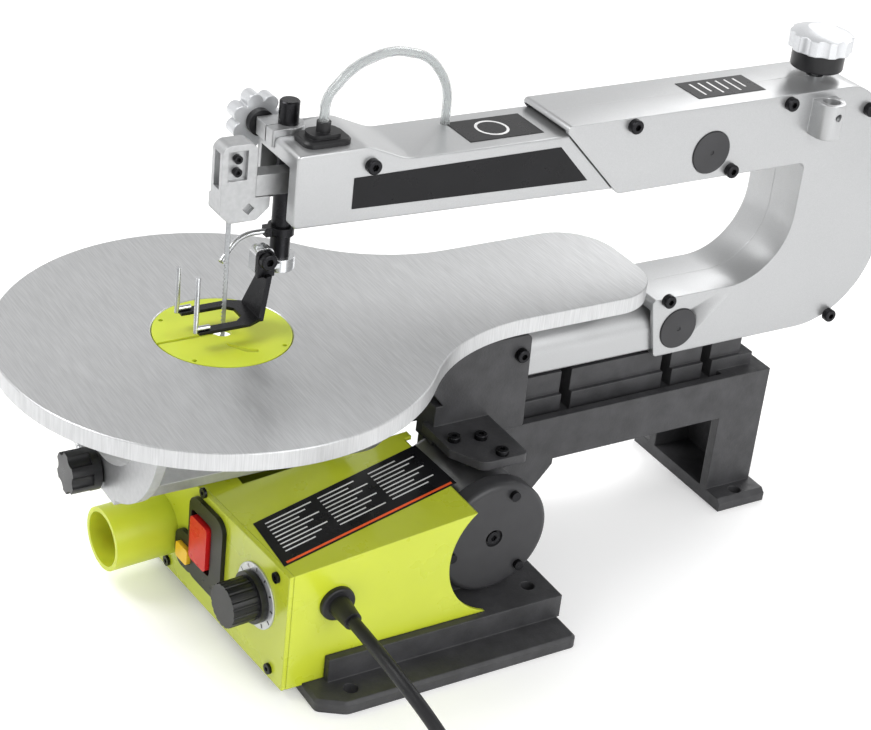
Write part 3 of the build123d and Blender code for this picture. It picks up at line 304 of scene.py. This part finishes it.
def plate(name, corners, thickness, material, body="root"):
    """A thin plate over four or more corners, given anticlockwise as seen from outside."""
    work = bmesh.new()
    face = work.faces.new([work.verts.new(at(*corner)) for corner in corners])
    face.normal_update()
    lift = face.normal * thickness * MM
    grown = bmesh.ops.extrude_face_region(work, geom=[face])
    bmesh.ops.translate(work, vec=lift, verts=[v for v in grown["geom"] if isinstance(v, bmesh.types.BMVert)])
    bmesh.ops.recalc_face_normals(work, faces=work.faces)
    bmesh.ops.bevel(work, geom=work.edges[:], offset=thickness * MM * PLATE_EDGE, segments=2, profile=0.5,
                    affect="EDGES", clamp_overlap=True)
    mesh = bpy.data.meshes.new(name)
    work.to_mesh(mesh)
    work.free()
    made = piece(name, mesh, material, body)
    return made


# ---------------------------------------------------------------- arm casings
ARM_HALF_WIDTH = 26.0
NOSE_FACE = 24.8
PIVOTS = ((324.0, 81.0), (322.0, -46.0))
CAP_REACH = 17.0                     # radius round a pivot that is left sharp
REAR_ROUND = 5.0
NOSE_ROUND = 4.0


def outer_edge(face_x):
    """Picks the outline edges of a side face, and not the rims of the cap recesses."""
    def chosen(a, b):
        if min(abs(a.x), abs(b.x)) < face_x - 0.05:
            return False
        middle = (a + b) / 2
        return all(math.hypot(middle.y - y, middle.z - z) > CAP_REACH for y, z in PIVOTS)
    return chosen


def add_casings():
    softened("frame_right", REAR_ROUND, outer_edge(ARM_HALF_WIDTH))
    softened("frame_left", REAR_ROUND, outer_edge(ARM_HALF_WIDTH))
    softened("upper_front_housing", NOSE_ROUND, outer_edge(NOSE_FACE))


# ---------------------------------------------------------------- labels, all of them without lettering
ROOF_SLOPE = 16.0 / 156.0            # of the motor housing's top
ROOF_FRONT = 87.0                    # its height above the bench at the front
ROOF_FRONT_Y = -4.0
ARM_TOP = 107.0                      # height of the front section's top, falling to the rear
ARM_TOP_Y = 100.0
ARM_TOP_RUN = 180.0                  # run in which it falls 1 mm
REAR_TOP = 113.0
PLATE_THICK = 0.3
SIDE_PLATE_THICK = 0.35
BAR_HEIGHT = 0.08
LIFT = 0.02                          # gap between a plate and what it lies on


def roof(x, y):
    return (x, y, BENCH + ROOF_FRONT + ROOF_SLOPE * (y - ROOF_FRONT_Y) + LIFT)


def arm_top(x, y):
    return (x, y, ARM_TOP - (y - ARM_TOP_Y) / ARM_TOP_RUN + LIFT)


LABEL_BLOCKS = 3
LABEL_LINES = 9


def bars(name, quads, thickness, material, body="root"):
    """Many thin raised bars as one piece, each from four corners in turn, the first two along its foot."""
    work = bmesh.new()
    for quad in quads:
        low = [at(*corner) for corner in quad]
        lift = (low[1] - low[0]).cross(low[2] - low[1]).normalized() * thickness * MM
        bottom = [work.verts.new(point) for point in low]
        top = [work.verts.new(point + lift) for point in low]
        work.faces.new(top)
        work.faces.new(bottom[::-1])
        for index in range(4):
            after = (index + 1) % 4
            work.faces.new((bottom[index], bottom[after], top[after], top[index]))
    mesh = bpy.data.meshes.new(name)
    work.to_mesh(mesh)
    work.free()
    made = piece(name, mesh, material, body)
    return made


def raised(point, height):
    return (point[0], point[1], point[2] + height)


def add_roof_label():
    """A dark plate with blocks of plain lines and a stripe along its right edge."""
    front_left, front_right, back_right, back_left = (54, 0), (99, -2), (78, 124), (31, 122)
    corners = (front_left, front_right, back_right, back_left)
    plate("roof_label", [roof(*corner) for corner in corners], PLATE_THICK, LABEL_DARK)

    def spot(across, along):
        x0 = front_left[0] + (back_left[0] - front_left[0]) * along
        x1 = front_right[0] + (back_right[0] - front_right[0]) * along
        y0 = front_left[1] + (back_left[1] - front_left[1]) * along
        y1 = front_right[1] + (back_right[1] - front_right[1]) * along
        return raised(roof(x0 + (x1 - x0) * across, y0 + (y1 - y0) * across), PLATE_THICK)

    def strip(across0, across1, along0, along1):
        return [spot(across0, along0), spot(across1, along0), spot(across1, along1), spot(across0, along1)]

    quads = []
    for block in range(LABEL_BLOCKS):
        start = 0.05 + 0.31 * block
        for line in range(LABEL_LINES):
            across = 0.10 + 0.08 * line
            short = 0.05 * ((line + block) % 3)
            quads.append(strip(across, across + 0.022, start, start + 0.27 - short))
    bars("roof_label_lines", quads, BAR_HEIGHT, LABEL_LIGHT)
    bars("roof_label_stripe", [strip(0.93, 0.97, 0.02, 0.98)], BAR_HEIGHT, LABEL_ORANGE)


RING_CENTRE_Y = 172.0
RING_INNER = 9.0
RING_OUTER = 10.8
RING_STEPS = 40
REAR_LINES = 6
REAR_LINE_PITCH = 7
REAR_LINE_WIDTH = 1.4


def add_side_panel():
    side = NOSE_FACE + LIFT
    corners = [(side, 65, 80.5), (side, 230, 74.8), (side, 207, 100), (side, 65, 100)]
    plate("side_panel", corners, SIDE_PLATE_THICK, LABEL_DARK)


def add_arm_label():
    """A dark plate with a plain ring on it."""
    corners = [arm_top(-15, 148), arm_top(15, 148), arm_top(15, 200), arm_top(-15, 200)]
    plate("arm_label", corners, PLATE_THICK, LABEL_DARK)
    rings = []
    for index in range(RING_STEPS):
        a0, a1 = (2 * math.pi * count / RING_STEPS for count in (index, index + 1))
        ends = ((RING_INNER, a0), (RING_OUTER, a0), (RING_OUTER, a1), (RING_INNER, a1))
        rings.append([raised(arm_top(radius * math.cos(a), RING_CENTRE_Y + radius * math.sin(a)), PLATE_THICK)
                      for radius, a in ends])
    bars("arm_label_ring", rings, BAR_HEIGHT, LABEL_LIGHT)


def add_rear_label():
    """A dark plate with plain lines, every other one shorter."""
    low = REAR_TOP + LIFT
    corners = [(-13, 318, low), (13, 318, low), (13, 372, low), (-13, 372, low)]
    plate("rear_label", corners, PLATE_THICK, LABEL_DARK)
    top = low + PLATE_THICK
    lines = []
    for index in range(REAR_LINES):
        y = 326 + REAR_LINE_PITCH * index
        end = 9 - 4 * (index % 2)
        far = y + REAR_LINE_WIDTH
        lines.append([(-9, y, top), (end, y, top), (end, far, top), (-9, far, top)])
    bars("rear_label_lines", lines, BAR_HEIGHT, LABEL_LIGHT)


def add_labels():
    add_side_panel()
    add_roof_label()
    add_arm_label()
    add_rear_label()


# ---------------------------------------------------------------- dial scale and bevel scale
DIAL_MARKS = 11
DIAL_SWEEP = 300.0
DIAL_MARK_ENDS = (17.0, 19.6)        # radii from the knob's axis
DIAL_FACE = 0.62                     # from the middle of the plate's thickness to just above its face
PANEL_YAW = math.radians(4.5)
BEVEL_MARK_STEP = 5
BEVEL_MARK_HALF = 0.2
BEVEL_MARK_OUTER = 84.0
MARK_HEIGHT = 0.06


def add_dial_marks():
    """Short radial marks round the speed knob, on the face of its plate."""
    low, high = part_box("dial_plate")
    centre = (Vector(low) + Vector(high)) / 2
    across = Vector((math.cos(PANEL_YAW), math.sin(PANEL_YAW), 0))
    out = Vector((math.sin(PANEL_YAW), -math.cos(PANEL_YAW), 0))
    face = (centre - ORIGIN) / MM + out * DIAL_FACE
    inner, outer = DIAL_MARK_ENDS
    quads = []
    for index in range(DIAL_MARKS):
        a = math.radians(-DIAL_SWEEP / 2 + DIAL_SWEEP * index / (DIAL_MARKS - 1))
        radial = across * math.sin(a) + Vector((0, 0, 1)) * math.cos(a)
        side = across * math.cos(a) - Vector((0, 0, 1)) * math.sin(a)
        half = 0.25 + 0.35 * index / (DIAL_MARKS - 1)
        corners = [face + radial * inner - side * half, face + radial * inner + side * half,
                   face + radial * outer + side * half, face + radial * outer - side * half]
        quads.append([tuple(corner) for corner in corners])
    bars("dial_marks", quads, MARK_HEIGHT, LABEL_DARK)


def add_bevel_marks():
    """Degree marks on the bevel scale, every five degrees from level to 45."""
    low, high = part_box("bevel_scale")
    y = (low[1] - ORIGIN.y) / MM - 0.01
    quads = []
    for index in range(10):
        a = math.radians(BEVEL_MARK_STEP * index)
        inner = 80.8 if index % 3 else 80.2
        radial = Vector((-math.sin(a), 0, -math.cos(a)))
        side = Vector((math.cos(a), 0, -math.sin(a)))
        edge = side * BEVEL_MARK_HALF
        corners = [radial * inner + edge, radial * inner - edge,
                   radial * BEVEL_MARK_OUTER - edge, radial * BEVEL_MARK_OUTER + edge]
        quads.append([(corner.x, y, corner.z) for corner in corners])
    bars("bevel_marks", quads, MARK_HEIGHT, LABEL_DARK, "table_body")


# ---------------------------------------------------------------- mains cord
CORD_DIAMETER = 8.0
CORD_ROUTE = [                       # heights above the bench
    (130, 28, 61.5), (158, 28, 61.5), (184, 30, 57.5), (208, 35, 48), (230, 42, 32), (252, 50, 14.5),
    (275, 58.5, 4.6), (301, 66, 4.6), (322, 70, 4.6),
]
COIL_CENTRE = (318.0, 122.0)
COIL_PITCH = 8.3
COIL_OUTER = 52.3
COIL_LOW = 4.65
COIL_START = -85.0
COIL_TURNS = 5
COIL_LAST = 153.0                    # degrees run after the last whole turn, to the plug's boot
COIL_POINTS = 24
STEP_SPAN = 0.14                     # share of a turn in which the cord steps to the next row
PLUG_END = (46.8, 24.3)              # radius and height of the boot's end
PLUG_RISE = 0.20                     # share of a turn in which the cord climbs to the boot
ROWS = (0, 1, 2, 2, 1, 0, 0)         # row of each turn, from the outside: in on one layer, out on the next


def step(turns, share):
    """Whole turns done, with a smooth step over the last share of each."""
    whole = math.floor(turns)
    rest = (turns - whole - (1 - share)) / share
    rest = min(max(rest, 0.0), 1.0)
    return whole + rest * rest * (3 - 2 * rest)


def coil_points():
    points = []
    total = COIL_TURNS + COIL_LAST / 360
    widen = 1 / math.cos(math.pi / COIL_POINTS)
    count = int(total * COIL_POINTS)
    for index in range(1, count + 1):
        turns = total * index / count
        done = step(turns, STEP_SPAN)
        whole = min(int(done), COIL_TURNS)
        part = done - whole
        row = ROWS[whole] + (ROWS[whole + 1] - ROWS[whole]) * part
        layer = 0.0 if done < 2 else min(done - 2, 1.0)
        radius = COIL_OUTER - COIL_PITCH * row
        height = COIL_LOW + COIL_PITCH * layer
        rise = min(max((turns - total + PLUG_RISE) / PLUG_RISE, 0.0), 1.0)
        rise = rise * rise * (3 - 2 * rise)
        radius += (PLUG_END[0] - radius) * rise
        height += (PLUG_END[1] - height) * rise
        a = math.radians(COIL_START) + 2 * math.pi * turns
        points.append((COIL_CENTRE[0] + radius * widen * math.cos(a),
                       COIL_CENTRE[1] + radius * widen * math.sin(a), height))
    return points


def add_cord():
    points = CORD_ROUTE + coil_points() + [(331.0, 166.0, 24.3)]
    curve = bpy.data.curves.new("mains_lead", "CURVE")
    curve.dimensions = "3D"
    curve.bevel_depth = CORD_DIAMETER / 2 * MM
    curve.bevel_resolution = 5
    curve.resolution_u = 6
    spline = curve.splines.new("NURBS")
    spline.points.add(len(points) - 1)
    for target, point in zip(spline.points, points):
        target.co = (*at(point[0], point[1], point[2] + BENCH), 1)
    spline.order_u = 3
    spline.use_endpoint_u = True
    curve.materials.append(MATERIALS["black_rubber"])
    lead = bpy.data.objects.new("mains_lead", curve)
    bpy.context.scene.collection.objects.link(lead)
    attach(lead, "root")
    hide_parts("mains_cord", "cord_coil")


# ---------------------------------------------------------------- stage
LENS = 83.28
SENSOR = 36.0
SHIFT_Y = -0.0999
AZIMUTH = math.radians(56.55)
ELEVATION = math.radians(26.98)
ROLL = math.radians(6.38)
CAMERA_AT = Vector((0.91888, -0.64251, 0.7605))


def add_camera():
    right = Vector((math.cos(AZIMUTH), math.sin(AZIMUTH), 0))
    look = Vector((-math.sin(AZIMUTH) * math.cos(ELEVATION), math.cos(AZIMUTH) * math.cos(ELEVATION),
                   -math.sin(ELEVATION)))
    up = right.cross(look)
    turned_right = right * math.cos(ROLL) + up * math.sin(ROLL)
    turned_up = up * math.cos(ROLL) - right * math.sin(ROLL)
    data = bpy.data.cameras.new("camera")
    data.lens = LENS
    data.sensor_width = SENSOR
    data.shift_y = SHIFT_Y
    data.clip_start = 0.01
    camera = bpy.data.objects.new("camera", data)
    bpy.context.scene.collection.objects.link(camera)
    turn = Matrix((turned_right, turned_up, -look)).transposed()
    camera.matrix_world = Matrix.Translation(CAMERA_AT) @ turn.to_4x4()
    bpy.context.scene.camera = camera


def add_light(name, place, size, power, target=(0, 0.05, 0.15)):
    data = bpy.data.lights.new(name, "AREA")
    data.shape = "DISK"
    data.size = size
    data.energy = power
    light = bpy.data.objects.new(name, data)
    bpy.context.scene.collection.objects.link(light)
    light.location = place
    light.rotation_euler = (Vector(target) - Vector(place)).to_track_quat("-Z", "Y").to_euler()


def add_floor():
    work = bmesh.new()
    bmesh.ops.create_grid(work, x_segments=2, y_segments=2, size=8.0)
    mesh = bpy.data.meshes.new("floor")
    work.to_mesh(mesh)
    work.free()
    floor = bpy.data.objects.new("floor", mesh)
    bpy.context.scene.collection.objects.link(floor)
    floor.location.z = -0.0002
    s = Shader("floor_paper", (0.88, 0.88, 0.88), 0.75)
    s.main.inputs["Emission Color"].default_value = (1, 1, 1, 1)
    s.main.inputs["Emission Strength"].default_value = 0.22
    s.vary_roughness(s.noise(40, 3), 0.05)
    mesh.materials.append(s.material)


def add_stage():
    add_floor()
    add_camera()
    add_light("key", (-0.7, -1.3, 2.0), 1.2, 34)
    add_light("right_fill", (1.9, 0.2, 1.2), 1.6, 30)
    add_light("back", (-0.9, 1.7, 1.6), 1.4, 18)
    world = bpy.data.worlds.new("studio")
    world.use_nodes = True
    tree = world.node_tree
    background = tree.nodes["Background"]
    coords = tree.nodes.new("ShaderNodeTexCoord")
    split = tree.nodes.new("ShaderNodeSeparateXYZ")
    fade = tree.nodes.new("ShaderNodeMapRange")
    for key, value in (("From Min", 0.25), ("From Max", 0.95), ("To Min", 1.0), ("To Max", 0.28)):
        fade.inputs[key].default_value = value
    tree.links.new(coords.outputs["Generated"], split.inputs["Vector"])
    tree.links.new(split.outputs["Z"], fade.inputs["Value"])
    tree.links.new(fade.outputs["Result"], background.inputs["Strength"])
    background.inputs["Color"].default_value = (1, 1, 1, 1)
    bpy.context.scene.world = world
    bpy.context.scene.view_settings.view_transform = "Standard"


add_stage()
dress_nodes()
add_casings()
add_labels()
add_dial_marks()
add_bevel_marks()
add_cord()
bpy.context.view_layer.update()
